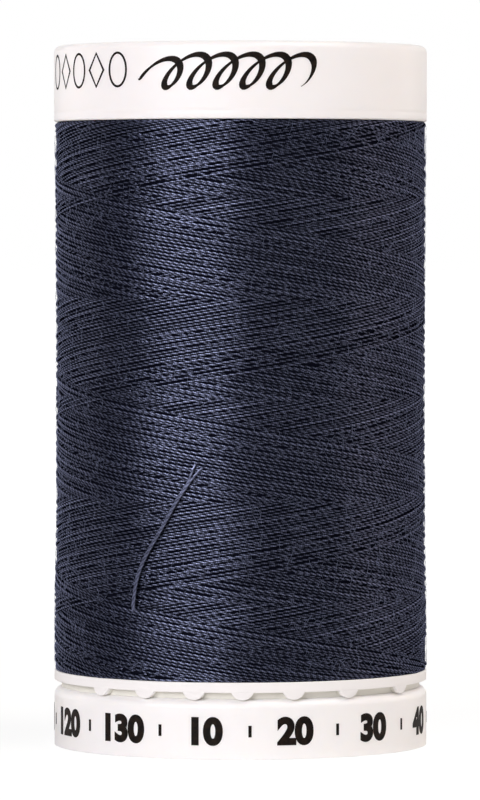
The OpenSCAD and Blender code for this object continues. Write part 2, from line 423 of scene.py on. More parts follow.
def lightRoom():
    # a white backdrop stands behind the spool, and the rest of the room is dim
    world = bpy.data.worlds.new("whiteRoom")
    world.use_nodes = True
    tree = world.node_tree
    sky = next(n for n in tree.nodes if n.type == "BACKGROUND")
    sky.inputs["Color"].default_value = (1, 1, 1, 1)
    path = tree.nodes.new("ShaderNodeLightPath")
    place = tree.nodes.new("ShaderNodeTexCoord")
    parts = tree.nodes.new("ShaderNodeSeparateXYZ")
    tree.links.new(place.outputs["Generated"], parts.inputs[0])
    behind = Value(tree, parts.outputs["Y"]).ramp(room["behind"], room["behindGain"])
    mirrored = Value(tree, path.outputs["Is Glossy Ray"]) * behind
    seen = Value(tree, path.outputs["Is Camera Ray"])
    seen = seen.atLeast(Value(tree, path.outputs["Is Transmission Ray"])).atLeast(mirrored)
    strength = seen.between((room["skyLight"], room["white"] - room["skyLight"]))
    tree.links.new(strength.socket, sky.inputs["Strength"])
    bpy.context.scene.world = world


def layTable(material):
    bm = bmesh.new()
    bmesh.ops.create_grid(bm, x_segments=1, y_segments=1, size=room["tableHalf"])
    mesh = bpy.data.meshes.new("table")
    bm.to_mesh(mesh)
    bm.free()
    mesh.materials.append(material)
    table = bpy.data.objects.new("table", mesh)
    bpy.context.scene.collection.objects.link(table)


# radii and heights in mm that more than one moulding uses
sizes = {
    "rim": 16.5, "boreEdge": 0.4, "pinBore": 3.8, "hub": 4.9,
    "baseHeight": 5.2,
    "seat": 15.85, "seatIn": 15.05, "seatLow": 5.19,
    "discLow": 5.76, "discHigh": 6.65, "discEdge": 0.08,
    "coreOut": 8.0, "coreIn": 6.65, "lip": 6.15, "lipTop": 7.0,
    "flangeLow": 55.1, "flangeHigh": 56.1, "flange": 15.3,
    "fingerOut": 6.0, "fingerIn": 5.0,
    "ribThick": 0.9, "ribSunk": 0.2, "ribBevel": 0.12,      # a rib's ends are sunk into its walls
    "edge": 0.1, "corner": 0.2, "root": 0.3,                # roundings
}
spinSteps = 192
smoothAngle = 32                                            # degrees; a sharper edge stays crisp


def softOutline(corners, arcSteps=6):
    # corners are (radius, height, rounding) in mm; the outline is closed
    points = []
    for i, (r, z, rounding) in enumerate(corners):
        here = Vector((r, z))
        if rounding == 0:
            points.append(here)
            continue
        back = (Vector(corners[i - 1][:2]) - here).normalized()
        ahead = (Vector(corners[(i + 1) % len(corners)][:2]) - here).normalized()
        half = back.angle(ahead) / 2
        centre = here + (back + ahead).normalized() * (rounding / math.sin(half))
        start = here + back * (rounding / math.tan(half)) - centre
        end = here + ahead * (rounding / math.tan(half)) - centre
        for k in range(arcSteps + 1):
            t = k / arcSteps
            points.append(centre + (start * (1 - t) + end * t).normalized() * rounding)
    return points


def spinOutline(bm, points, turn=360.0, start=0.0, steps=spinSteps):
    # points are (radius, height) in mm; a part turn is closed by its two end faces
    turned = math.radians(start)
    ring = []
    for r, z in points:
        ring.append(bm.verts.new((r * math.cos(turned) * mm, r * math.sin(turned) * mm, z * mm)))
    edges = [bm.edges.new((ring[i - 1], ring[i])) for i in range(len(ring))]
    whole = turn == 360.0
    made = bmesh.ops.spin(bm, geom=ring + edges, cent=(0, 0, 0), axis=(0, 0, 1), dvec=(0, 0, 0),
                          angle=math.radians(turn), steps=steps, use_merge=whole)
    if not whole:
        last = [v for v in made["geom_last"] if isinstance(v, bmesh.types.BMVert)]
        bm.faces.new(ring)
        bm.faces.new(last)


def turnVerts(verts, degrees):
    around = math.radians(degrees)
    for v in verts:
        x, y = v.co.x, v.co.y
        v.co.x = x * math.cos(around) - y * math.sin(around)
        v.co.y = x * math.sin(around) + y * math.cos(around)


def addBox(bm, low, high, turned):
    # a box between two corners in mm, turned about the spool's axis
    made = bmesh.ops.create_cube(bm, size=1)["verts"]
    size = [(b - a) * mm for a, b in zip(low, high)]
    middle = Vector([(a + b) / 2 * mm for a, b in zip(low, high)])
    bmesh.ops.scale(bm, vec=size, verts=made)
    bmesh.ops.translate(bm, vec=middle, verts=made)
    edges = list({e for v in made for e in v.link_edges})
    bevelled = bmesh.ops.bevel(bm, geom=edges, offset=sizes["ribBevel"] * mm, segments=2, profile=0.5,
                               affect="EDGES", material=-1)
    turnVerts({v for f in bevelled["faces"] for v in f.verts} | {v for v in made if v.is_valid}, turned)


def finishPiece(bm, name, material, body):
    bmesh.ops.recalc_face_normals(bm, faces=bm.faces[:])
    mesh = bpy.data.meshes.new(name)
    bm.to_mesh(mesh)
    bm.free()
    mesh.materials.append(material)
    piece = bpy.data.objects.new(name, mesh)
    bpy.context.scene.collection.objects.link(piece)
    mesh.shade_smooth()
    mesh.set_sharp_from_angle(angle=math.radians(smoothAngle))
    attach(piece, body)
    return piece


baseCap = {
    "skirt": 15.3, "plate": 3.9, "topEdge": 0.8, "footEdge": 0.04, "skirtEdge": 0.15,
    "ribs": 8, "ribFoot": 0.8,
    "fingers": 4, "fingerTurn": 62.0, "fingerSteps": 20, "fingerArcSteps": 3,
    "barb": 6.45, "barbLow": 8.6, "barbFlat": 0.48, "barbHigh": 10.2, "barbSlope": 0.4,
    "barbEdge": 0.08, "fingerEdge": 0.15,
}


def makeBaseCap(material):
    s, b = sizes, baseCap
    edge = s["boreEdge"]
    outline = softOutline([
        (s["pinBore"], edge, 0), (s["pinBore"] + edge, 0, 0),
        (s["hub"], 0, s["edge"]), (s["hub"], b["plate"], s["corner"]),
        (b["skirt"], b["plate"], s["root"]), (b["skirt"], 0, b["skirtEdge"]),
        (s["rim"], 0, b["footEdge"]), (s["rim"], s["baseHeight"], b["topEdge"]),
        (s["pinBore"] + edge, s["baseHeight"], 0), (s["pinBore"], s["baseHeight"] - edge, 0),
    ])
    bm = bmesh.new()
    spinOutline(bm, outline)
    for i in range(b["ribs"]):
        addBox(bm, (s["hub"] - s["ribSunk"], -s["ribThick"] / 2, b["ribFoot"]),
               (b["skirt"] + s["ribSunk"], s["ribThick"] / 2, b["plate"] + s["ribSunk"]),
               (i + 0.5) * 360 / b["ribs"])
    root = s["baseHeight"] - s["root"]
    finger = softOutline([
        (s["fingerIn"], root, 0), (s["fingerOut"], root, 0), (s["fingerOut"], b["barbLow"], 0),
        (b["barb"], b["barbLow"], b["barbEdge"]), (b["barb"], b["barbLow"] + b["barbFlat"], s["corner"]),
        (s["fingerOut"] - b["barbSlope"], b["barbHigh"], b["fingerEdge"]),
        (s["fingerIn"], b["barbHigh"], b["fingerEdge"]),
    ], b["fingerArcSteps"])
    for i in range(b["fingers"]):
        spinOutline(bm, finger, b["fingerTurn"], i * 360 / b["fingers"] - b["fingerTurn"] / 2,
                    b["fingerSteps"])
    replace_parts(finishPiece(bm, "baseCap", material, "base"), "base_cap")


bumps = {
    "angles": [-47.5, -30.3, -14.2, 0.6, 16.3, 34.8, 58.4],   # from the front; the back repeats them
    "round": 1.04, "drop": 0.64,       # a tab's radius, and how far it reaches below the disc
    "ringIn": 15.0, "front": 0.004,    # where it starts, and how far it stays inside the rim
    "edge": 0.05, "reach": 0.4,        # its rounding, and how far it goes up into the disc
    "sides": 48,
}


def addBump(bm, turned):
    # a half-round tab under the disc, flush with the disc's rim
    b, s = bumps, sizes
    made = bmesh.ops.create_circle(bm, cap_ends=True, segments=b["sides"], radius=b["round"] * mm)["verts"]
    lift = (s["discLow"] + b["round"] - b["drop"]) * mm
    top = (s["discLow"] + b["reach"]) * mm
    for v in made:
        v.co = Vector((b["ringIn"] * mm, v.co.x, min(v.co.y + lift, top)))
    face = next(f for f in made[0].link_faces)
    grown = bmesh.ops.extrude_face_region(bm, geom=[face])["geom"]
    front = [g for g in grown if isinstance(g, bmesh.types.BMVert)]
    for v in front:
        v.co.x = (s["rim"] - b["front"]) * mm
    edges = [g for g in grown if isinstance(g, bmesh.types.BMEdge)]
    bevelled = bmesh.ops.bevel(bm, geom=edges, offset=b["edge"] * mm, segments=3, profile=0.5,
                               affect="EDGES", material=-1)
    made = {v for v in made + front if v.is_valid} | {v for f in bevelled["faces"] for v in f.verts}
    for v in made:
        v.co.x -= (s["rim"] - math.sqrt(s["rim"] ** 2 - (v.co.y / mm) ** 2)) * mm
    turnVerts(made, turned)


spoolBody = {
    "lipSlope": 0.3, "lipEdge": 0.05, "seatEdge": 0.03,
    "keys": 4, "keyIn": 0.1, "keyHalf": 1.2, "keyRise": 1.6,   # keys that the fingers run between
}


def makeSpoolBody(material):
    s, b = sizes, spoolBody
    edge, corner = s["edge"], s["corner"]
    outline = softOutline([
        (s["lip"] + b["lipSlope"], s["discLow"], b["lipEdge"]),
        (s["lip"], s["discLow"] + b["lipSlope"], b["lipEdge"]), (s["lip"], s["lipTop"], edge),
        (s["coreIn"], s["lipTop"], edge), (s["coreIn"], s["flangeHigh"], edge),
        (s["flange"], s["flangeHigh"], edge), (s["flange"], s["flangeLow"], edge),
        (s["coreOut"], s["flangeLow"], corner), (s["coreOut"], s["discHigh"], corner),
        (s["rim"], s["discHigh"], s["discEdge"]), (s["rim"], s["discLow"], s["discEdge"]),
        (s["seat"], s["discLow"], edge), (s["seat"], s["seatLow"], b["seatEdge"]),
        (s["seatIn"], s["seatLow"], b["seatEdge"]), (s["seatIn"], s["discLow"], edge),
    ])
    bm = bmesh.new()
    spinOutline(bm, outline)
    for i in range(b["keys"]):
        addBox(bm, (s["fingerIn"] + b["keyIn"], -b["keyHalf"], s["discLow"]),
               (s["coreIn"] + s["ribSunk"], b["keyHalf"], s["lipTop"] + b["keyRise"]),
               (i + 0.5) * 360 / b["keys"])
    for half in (-90, 90):
        for angle in bumps["angles"]:
            addBump(bm, half + angle)
    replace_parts(finishPiece(bm, "spoolBody", material, "spool"), "spool_body")


topCap = {
    "in": 15.4, "plate": 59.8, "dish": 61.0, "top": 61.8, "dishRim": 14.6,
    "topEdge": 0.6, "footEdge": 0.18, "dishEdge": 0.25,
    "spigotOut": 6.63, "spigotIn": 5.63, "spigotLow": 51.1,
    "ribs": 8, "ribHeight": 2.2,
    "sinkHeight": 0.72, "sinkWidth": 0.5, "sinkDepth": 0.02, "sinkSoft": 0.8,   # a faint line round it
}


def makeTopCap(material):
    s, c = sizes, topCap
    bore, edge, corner = s["boreEdge"], s["edge"], s["corner"]
    sink = s["flangeLow"] + c["sinkHeight"]
    outline = softOutline([
        (s["pinBore"], s["flangeHigh"] + bore, 0), (s["pinBore"] + bore, s["flangeHigh"], 0),
        (s["hub"], s["flangeHigh"], edge), (s["hub"], c["plate"], corner),
        (c["spigotIn"], c["plate"], edge), (c["spigotIn"], c["spigotLow"], edge),
        (c["spigotOut"], c["spigotLow"], corner), (c["spigotOut"], c["plate"], corner),
        (c["in"], c["plate"], s["root"]), (c["in"], s["flangeLow"], edge),
        (s["rim"], s["flangeLow"], c["footEdge"]),
        (s["rim"], sink - c["sinkWidth"] / 2, c["sinkSoft"]),
        (s["rim"] - c["sinkDepth"], sink, c["sinkSoft"]),
        (s["rim"], sink + c["sinkWidth"] / 2, c["sinkSoft"]),
        (s["rim"], c["top"], c["topEdge"]), (c["dishRim"], c["top"], c["dishEdge"]),
        (c["dishRim"], c["dish"], corner),
        (s["pinBore"] + bore, c["dish"], 0), (s["pinBore"], c["dish"] - bore, 0),
    ])
    bm = bmesh.new()
    spinOutline(bm, outline)
    for i in range(c["ribs"]):
        addBox(bm, (c["spigotOut"] - s["ribSunk"], -s["ribThick"] / 2, c["plate"] - c["ribHeight"]),
               (c["in"] + s["ribSunk"], s["ribThick"] / 2, c["plate"] + s["ribSunk"]),
               (i + 0.5) * 360 / c["ribs"])
    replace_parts(finishPiece(bm, "topCap", material, "spool"), "top_cap")


printing = {
    "lift": 0.008, "thick": 0.016,          # mm that the ink stands on, and its own
    "slice": 0.45,                          # width of the strips that bend round the rim
    "numbers": 13, "numberStep": 10, "digitHeight": 2.5, "digitFoot": 1.20, "wide": 1.02,
    "bold": 0.055, "curveSteps": 8,         # other pairs of these leave some digits unfilled
    "turn": -11.0, "barWidth": 0.28, "barHeight": 1.0,
}


def wrapInk(bm, turned):
    # bends flat ink, drawn in X and Z with its thickness towards -Y, round the rim
    radius = (sizes["rim"] + printing["lift"]) * mm
    for v in bm.verts:
        around = math.radians(turned - 90) + v.co.x / radius
        out = radius - v.co.y
        v.co = Vector((out * math.cos(around), out * math.sin(around), v.co.z))


def sliceInk(bm):
    # cuts flat ink into narrow strips, so that it bends smoothly
    step = printing["slice"] * mm
    x = min(v.co.x for v in bm.verts) + step
    high = max(v.co.x for v in bm.verts)
    while x < high:
        bmesh.ops.bisect_plane(bm, geom=bm.verts[:] + bm.edges[:] + bm.faces[:], dist=1e-8,
                               plane_co=(x, 0, 0), plane_no=(1, 0, 0))
        x += step


def numberInk(words):
    p = printing
    curve = bpy.data.curves.new("number", "FONT")
    curve.body = words
    curve.size = 1.0
    curve.offset = p["bold"]
    curve.resolution_u = p["curveSteps"]
    curve.align_x = "CENTER"
    holder = bpy.data.objects.new("number", curve)
    bpy.context.scene.collection.objects.link(holder)
    bpy.context.view_layer.update()
    mesh = bpy.data.meshes.new_from_object(holder.evaluated_get(bpy.context.evaluated_depsgraph_get()))
    bpy.data.objects.remove(holder)
    bm = bmesh.new()
    bm.from_mesh(mesh)
    bpy.data.meshes.remove(mesh)
    low = min(v.co.y for v in bm.verts)
    tall = max(v.co.y for v in bm.verts) - low
    grow = p["digitHeight"] / tall * mm
    for v in bm.verts:
        v.co = Vector((v.co.x * grow * p["wide"], 0, (v.co.y - low) * grow + p["digitFoot"] * mm))
    return bm


def thickenInk(bm):
    made = bmesh.ops.extrude_face_region(bm, geom=bm.faces[:])
    moved = [v for v in made["geom"] if isinstance(v, bmesh.types.BMVert)]
    bmesh.ops.translate(bm, vec=(0, -printing["thick"] * mm, 0), verts=moved)


def addInk(whole, flat, turned):
    # flat ink gets its thickness and its place on the rim, and joins the rest
    thickenInk(flat)
    wrapInk(flat, turned)
    mesh = bpy.data.meshes.new("part")
    flat.to_mesh(mesh)
    flat.free()
    whole.from_mesh(mesh)
    bpy.data.meshes.remove(mesh)


def makeNumbers(material):
    whole = bmesh.new()
    p = printing
    for i in range(p["numbers"]):
        turned = p["turn"] + i * 360 / p["numbers"]
        digits = numberInk(str((i + 1) * p["numberStep"]))
        bmesh.ops.remove_doubles(digits, verts=digits.verts[:], dist=1e-7)
        sliceInk(digits)
        addInk(whole, digits, turned)
        bar = bmesh.new()
        bmesh.ops.create_grid(bar, x_segments=1, y_segments=1, size=0.5)
        for v in bar.verts:
            high = p["digitFoot"] + p["digitHeight"] / 2 + v.co.y * p["barHeight"]
            v.co = Vector((v.co.x * p["barWidth"] * mm, 0, high * mm))
        addInk(whole, bar, turned + 180 / p["numbers"])
    finishPiece(whole, "baseNumbers", material, "base")


motif = {
    "middle": 59.2, "loops": 6, "loopStep": 2.3, "loopTall": 1.4, "loopWide": 1.1, "slant": 0.60,
    "loopPoints": 36, "loopStart": 0.30, "loopTurn": -4.0,
    "firstLoop": 0.45, "grows": 0.55, "leadIn": 0.9,         # the first loop is small, with a lead-in
    "thin": 0.2, "thick": 0.66, "pen": 35.0,                 # the pen's widths, and the angle it is held at
    "startWidth": 0.35, "endWidth": 0.2, "easePoints": 14,
    "signs": 5, "signStep": 9.2, "signTall": 2.9, "signWide": 1.9, "signRise": 0.2, "signTurn": -58.4,
    "signLine": 0.2, "lozengeLine": 1.25, "ovalSides": 40,
}


def ribbonInk(points, widths, closed=False):
    # a flat stroke of changing width along a list of points in X and Z
    bm = bmesh.new()
    n = len(points)
    sides = []
    for i, (x, z) in enumerate(points):
        ax, az = points[(i + 1) % n] if closed or i < n - 1 else points[i]
        bx, bz = points[i - 1] if closed or i > 0 else points[i]
        run = Vector((ax - bx, az - bz)).normalized()
        half = widths[i] / 2
        sides.append((bm.verts.new(((x - run.y * half) * mm, 0, (z + run.x * half) * mm)),
                      bm.verts.new(((x + run.y * half) * mm, 0, (z - run.x * half) * mm))))
    for i in range(n if closed else n - 1):
        (a, b), (c, d) = sides[i], sides[(i + 1) % n]
        bm.faces.new((a, b, d, c))
    return bm


def penStroke(points):
    # widths of a stroke that a broad pen, held at an angle, draws along the points
    m = motif
    pen = math.radians(m["pen"])
    last = len(points) - 1
    widths = []
    for i in range(len(points)):
        a, b = Vector(points[max(i - 1, 0)]), Vector(points[min(i + 1, last)])
        run = (b - a).normalized()
        across = abs(run.x * math.sin(pen) - run.y * math.cos(pen))
        ends = min(1.0, m["startWidth"] + i / m["easePoints"], m["endWidth"] + (last - i) / m["easePoints"])
        widths.append((m["thin"] + (m["thick"] - m["thin"]) * across) * ends)
    return widths


def makeMotif(material):
    # on each half of the band a row of slanting thread loops and a row of thin ovals and lozenges
    whole = bmesh.new()
    m = motif
    loops = []
    for i in range(m["loops"] * m["loopPoints"] + 1):
        t = i / m["loopPoints"]
        phase = 2 * math.pi * (t - m["loopStart"])
        grown = min(1.0, m["firstLoop"] + m["grows"] * t)
        high = m["loopTall"] * math.sin(phase) * grown
        wide = (t - m["loops"] / 2) * m["loopStep"] - m["loopWide"] * math.cos(phase) * grown
        loops.append((wide + high * m["slant"] - m["leadIn"] * max(0.0, 1 - t) ** 2, m["middle"] + high))
    for half in (0, 180):
        addInk(whole, ribbonInk(loops, penStroke(loops)), m["loopTurn"] + half)
        for k in range(m["signs"]):
            corners = 4 if k % 2 else m["ovalSides"]
            line = m["signLine"] * (m["lozengeLine"] if k % 2 else 1.0)
            sign = []
            for i in range(corners):
                t = 2 * math.pi * i / corners
                sign.append((m["signWide"] / 2 * math.cos(t),
                             m["middle"] + m["signRise"] + m["signTall"] / 2 * math.sin(t)))
            addInk(whole, ribbonInk(sign, [line] * corners, True),
                   m["signTurn"] + (k - (m["signs"] - 1) / 2) * m["signStep"] + half)
    finishPiece(whole, "topMotif", material, "spool")


winding = {
    "low": 6.65, "high": 55.1,         # between the faces that hold it
    "middleRadius": 16.33, "endRadius": 16.43,
    "shoulder": 0.4, "topDrop": 0.2, "footDrop": 0.02,
    "bulge": 0.08, "bulgeTop": 18.5, "bulgeFull": 14.0,     # it swells a little towards its foot
    "advance": 17.45,                  # mm up the spool for a turn
    "turns": 6, "lays": 63,            # turns of a trip there and back; trips that fill the spool once
    "bend": 2.2,                       # angle over which the thread turns back at an end
    "crossTurn": -44.0,                # where the last two lays cross at half height
    "trips": 150, "shownTrips": 78,
    "strand": 0.128,                   # radius over a strand's crests
    "waist": 0.80,                     # its width across the groove, as a share
    "plyTwist": 1.2,                   # mm along the strand for one turn of its plies
    "twistWaves": ((0.9, 7.0), (0.5, 2.3)),                 # radians that the twist wanders, over mm
    "ring": 0.19,                      # mm between two rings of the mesh
    "stray": 0.052,                    # how far a lay strays from its place
    "wander": 0.014, "wanderWaves": (9.0, 23.0, 61.0),      # and how it wanders on its way
    "clearLow": 0.09, "clearHigh": 0.11,                    # room that it keeps to both faces
    "cell": 0.1,                       # mm, of the height map
    "bridge": 8, "settle": 5,          # cells that a strand spans, and that its bed is evened over
    "nest": 0.78,                      # height of a strand's middle over its bed, in strand radii
    "crown": 0.95,                     # how far out on its side the next cell of the map lies, in cells
    "sit": 0.6,                        # depth of the topmost strands' middles, in strand radii
    "deepest": 0.20,                   # mm that a covered strand sinks at most
    "evenness": 0.7,                   # how much of its sinking is left when the winding is drawn tight
    "shade": 0.7,                      # how much painted shade a strand gets for each mm that it sinks
    "coverDepth": 0.12,                # mm under the top at which a strand is no longer seen
    "runOn": 2, "evenRings": 2,        # rings that show past that, and that even out its sinking
    "buried": 0.27, "buriedSteps": 24,                      # mm from the surface down to the dark barrel
    "ringsInPiece": 14500,
    "windSeed": 11, "twistSeed": 23,
}
anyTurn = 6.28                         # radians, for a wave that starts anywhere


def tripAngle():
    # radians that the thread goes round the spool on a trip there and back
    return 2 * math.pi * (winding["turns"] + 1 / winding["lays"])


def zigzag(phi):
    # height above the table at a turn of phi radians before the winding ended
    w = winding
    slope = w["advance"] / (2 * math.pi)
    trip = tripAngle()
    middle = (w["low"] + w["high"]) / 2
    t = (phi / trip) % 1.0
    fromEnd = np.where(t < 0.25, t, np.where(t < 0.75, np.abs(t - 0.5), 1 - t)) * trip
    sign = np.where((t > 0.25) & (t < 0.75), 1.0, -1.0)
    peak = slope * trip / 4
    rounded = slope * w["bend"] / 4 + slope / w["bend"] * fromEnd ** 2
    drop = np.where(fromEnd < w["bend"] / 2, rounded, slope * fromEnd)
    return middle + sign * (peak - drop)


def slide(values, reach, measure, axis=0):
    # the largest, least or mean value within reach of each place
    room = [(reach, reach) if a == axis else (0, 0) for a in range(values.ndim)]
    padded = np.pad(values, room, mode="edge")
    return measure(np.lib.stride_tricks.sliding_window_view(padded, 2 * reach + 1, axis=axis), axis=-1)


def cellsAt(z, theta, rows, columns):
    # rows and columns of the height map under points of the thread
    w = winding
    return ((z - w["low"]) / w["cell"]).astype(int), (theta / (2 * math.pi) * columns).astype(int) % columns


def windThread():
    # lays the thread stroke by stroke on a height map, each on what lies there already
    w = winding
    rng = np.random.default_rng(w["windSeed"])
    radius = w["middleRadius"]
    trip = tripAngle()
    startTurn = math.radians(w["crossTurn"]) + trip / 4
    columns = int(2 * math.pi * radius / w["cell"])
    rows = int((w["high"] - w["low"]) / w["cell"])
    heights = np.zeros((rows, columns))
    step = w["cell"] / radius
    strokes = []
    for k in range(2 * w["trips"]):
        left = 2 * w["trips"] - k
        phi = np.arange(-trip / 2 * left, -trip / 2 * (left - 1), step)
        along = np.arange(len(phi)) * w["cell"]
        stray = rng.normal(0, w["stray"])
        for wave in w["wanderWaves"]:
            size = rng.normal(0, w["wander"])
            stray = stray + size * np.sin(along * 2 * math.pi / wave + rng.uniform(0, anyTurn))
        z = np.clip(zigzag(phi) + stray, w["low"] + w["clearLow"], w["high"] - w["clearHigh"])
        theta = phi + startTurn
        row, column = cellsAt(z, theta, rows, columns)
        under = np.max([heights[np.clip(row + o, 0, rows - 1), column] for o in (-1, 0, 1)], axis=0)
        bed = slide(slide(under, w["bridge"], np.max), w["bridge"], np.min)
        bed = slide(bed, w["settle"], np.mean)
        middle = bed + w["nest"] * w["strand"]
        for o in (-1, 0, 1):
            crown = middle + math.sqrt(w["strand"] ** 2 - (o * w["cell"] * w["crown"]) ** 2)
            np.maximum.at(heights, (np.clip(row + o, 0, rows - 1), column), crown)
        strokes.append({"z": z, "theta": theta, "height": middle, "tone": rng.uniform(0, 1)})
    return strokes, heights


def crownLevel(heights, reach=2, soft=1):
    # the level of the topmost strands round each cell, which the spool's outer shape then follows
    wrap = 2 * (reach + soft)
    level = np.concatenate([heights[:, -wrap:], heights, heights[:, :wrap]], axis=1)
    for axis in (0, 1):
        level = slide(level, reach, np.max, axis)
    for axis in (0, 1, 0, 1):
        level = slide(level, soft, np.mean, axis)
    return level[:, wrap:-wrap]


def envelope(z):
    # radius of the winding's outer shape at a height
    w = winding
    t = (z - w["low"]) / (w["high"] - w["low"]) * 2 - 1
    toTop = np.clip((w["high"] - z) / w["shoulder"], 0, 1)
    toFoot = np.clip((z - w["low"]) / w["shoulder"], 0, 1)
    drop = w["topDrop"] * (1 - toTop) ** 2 + w["footDrop"] * (1 - toFoot) ** 2
    swell = w["bulge"] * np.clip((w["bulgeTop"] - z) / (w["bulgeTop"] - w["bulgeFull"]), 0, 1)
    return w["middleRadius"] + (w["endRadius"] - w["middleRadius"]) * t ** 2 + swell - drop


def pathPoints(radial, theta, z):
    return np.stack([radial * np.sin(theta), -radial * np.cos(theta), z], axis=1)


def strandRings(points, twist, radius, waist, sides=6):
    # rings round a path of points in mm, where two opposite corners are the plies' crests,
    # and how far each corner stands out, from 0 on the inside to 1 on the outside
    tangent = np.gradient(points, axis=0)
    tangent /= np.linalg.norm(tangent, axis=1, keepdims=True)
    outward = points * np.array([1, 1, 0])
    outward -= tangent * np.sum(outward * tangent, axis=1, keepdims=True)
    outward /= np.linalg.norm(outward, axis=1, keepdims=True)
    side = np.cross(tangent, outward)
    psi = twist[:, None] + np.arange(sides) * 2 * math.pi / sides
    reach = np.where(np.arange(sides) % max(sides // 2, 2) == 0, radius, radius * waist)[None, :]
    rise = np.cos(psi) * reach
    swing = np.sin(psi) * reach
    rings = points[:, None, :] + rise[..., None] * outward[:, None, :] + swing[..., None] * side[:, None, :]
    return rings, 0.5 + 0.5 * rise / radius


def addMap(mesh, name, strand, caps):
    layer = mesh.uv_layers.new(name=name)
    layer.uv.foreach_set("vector", np.concatenate([strand, caps]).astype(np.float32).ravel())


def addTone(mesh, name, values):
    layer = mesh.attributes.new(name, "FLOAT", "POINT")
    layer.data.foreach_set("value", values.astype(np.float32).ravel())


rowMargin = 0.03                       # share of a row of the export's map that stays free at each side


def meshFromRings(name, strand, material):
    # the strand's rings are (n, k, 3) in mm; joined says which ring is joined to the next one
    # lists of its own, because an operator for each of the many strands would take minutes
    rings, joined, along = strand["rings"], strand["joined"], strand["along"]
    n, k = rings.shape[:2]
    first = np.nonzero(joined)[0]
    j = np.arange(k)
    a = first[:, None] * k + j
    b = first[:, None] * k + (j + 1) % k
    quads = np.stack([a, b, b + k, a + k], axis=2).reshape(-1, 4)
    before = np.concatenate([[False], joined[:-1]])
    starts = np.nonzero(joined & ~before)[0][:, None] * k + j[::-1]
    ends = np.nonzero(~joined & before)[0][:, None] * k + j
    caps = np.concatenate([starts, ends])
    corners = np.concatenate([quads.ravel(), caps.ravel()])
    faceStarts = np.concatenate([np.arange(len(quads)) * 4, quads.size + np.arange(len(caps)) * k])
    mesh = bpy.data.meshes.new(name)
    mesh.vertices.add(n * k)
    mesh.vertices.foreach_set("co", (rings * mm).astype(np.float32).ravel())
    mesh.loops.add(len(corners))
    mesh.loops.foreach_set("vertex_index", corners.astype(np.int32))
    mesh.polygons.add(len(faceStarts))
    mesh.polygons.foreach_set("loop_start", faceStarts.astype(np.int32))
    mesh.update(calc_edges=True)
    mesh.polygons.foreach_set("use_smooth", np.ones(len(mesh.polygons), bool))
    # u is the way along the strand in mm, and v goes once round it
    u0, u1 = along[first], along[first + 1]
    v0, v1 = j / k, (j + 1) / k
    u = np.stack([np.broadcast_to(x[:, None], (len(first), k)) for x in (u0, u0, u1, u1)], axis=2)
    v = np.broadcast_to(np.stack([v0, v1, v1, v0], axis=1)[None], (len(first), k, 4))
    capPlaces = np.stack([along[caps // k], (caps % k) / k], axis=2).reshape(-1, 2)
    addMap(mesh, "alongStrand", np.stack([u, v], axis=3).reshape(-1, 2), capPlaces)
    # a second map, for the export: the strand cut into rows that fill the square
    perRow = max(1, int(math.sqrt(len(first) * k)))
    rowCount = math.ceil(len(first) / perRow)
    q = np.arange(len(first))
    x0, x1 = (q % perRow) / perRow, (q % perRow + 1) / perRow
    x = np.stack([np.broadcast_to(t[:, None], (len(first), k)) for t in (x0, x0, x1, x1)], axis=2)
    y = ((q // perRow)[:, None, None] + v * (1 - 2 * rowMargin) + rowMargin) / rowCount
    packed = np.stack([x, y], axis=3).reshape(-1, 2)
    addMap(mesh, "OFBake", packed, np.tile(packed[:1], (caps.size, 1)))
    mesh.uv_layers.active = mesh.uv_layers["alongStrand"]
    addTone(mesh, "layTone", np.repeat(strand["tone"], k))
    # painted shade: how far out each corner stands, less where the strand sinks; the finish darkens the
    # thread where this is low
    addTone(mesh, "openness", strand["open"])
    mesh.materials.append(material)
    piece = bpy.data.objects.new(name, mesh)
    bpy.context.scene.collection.objects.link(piece)
    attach(piece, "spool")
    return piece


def shownStrand(stroke, heights, level, rng):
    # the rings of one stroke, for the stretches of it that can be seen
    w = winding
    rows, columns = heights.shape
    spacing = w["ring"] / w["cell"]
    source = np.arange(len(stroke["z"]))
    at = np.arange(int(len(source) / spacing)) * spacing
    z, theta, height = [np.interp(at, source, stroke[key]) for key in ("z", "theta", "height")]
    row, column = cellsAt(z, theta, rows, columns)
    row = np.clip(row, 0, rows - 1)
    shown = slide(height + w["strand"] > heights[row, column] - w["coverDepth"], w["runOn"], np.max)
    depth = np.clip(level[row, column] - height - w["strand"], 0, w["deepest"])
    depth = w["evenness"] * slide(depth, w["evenRings"], np.mean)
    points = pathPoints(envelope(z) - w["sit"] * w["strand"] - depth, theta, z)
    along = at * w["cell"]
    twist = along * 2 * math.pi / w["plyTwist"] + rng.uniform(0, anyTurn)
    for size, wave in w["twistWaves"]:
        twist = twist + size * np.sin(along / wave + rng.uniform(0, anyTurn))
    rings, openness = strandRings(points, twist, w["strand"], w["waist"])
    joined = shown.copy()
    joined[:-1] &= shown[1:]
    joined[-1] = False
    keep = joined | np.concatenate([[False], joined[:-1]])
    # painted shade: open is how far out each corner stands, less for each mm that the strand sinks
    return {"rings": rings[keep], "joined": joined[keep], "along": along[keep],
            "tone": np.full(keep.sum(), stroke["tone"]),
            "open": np.clip(openness - depth[:, None] * w["shade"], 0, 1)[keep]}


def joinStrands(strands):
    return {key: np.concatenate([s[key] for s in strands]) for key in strands[0]}


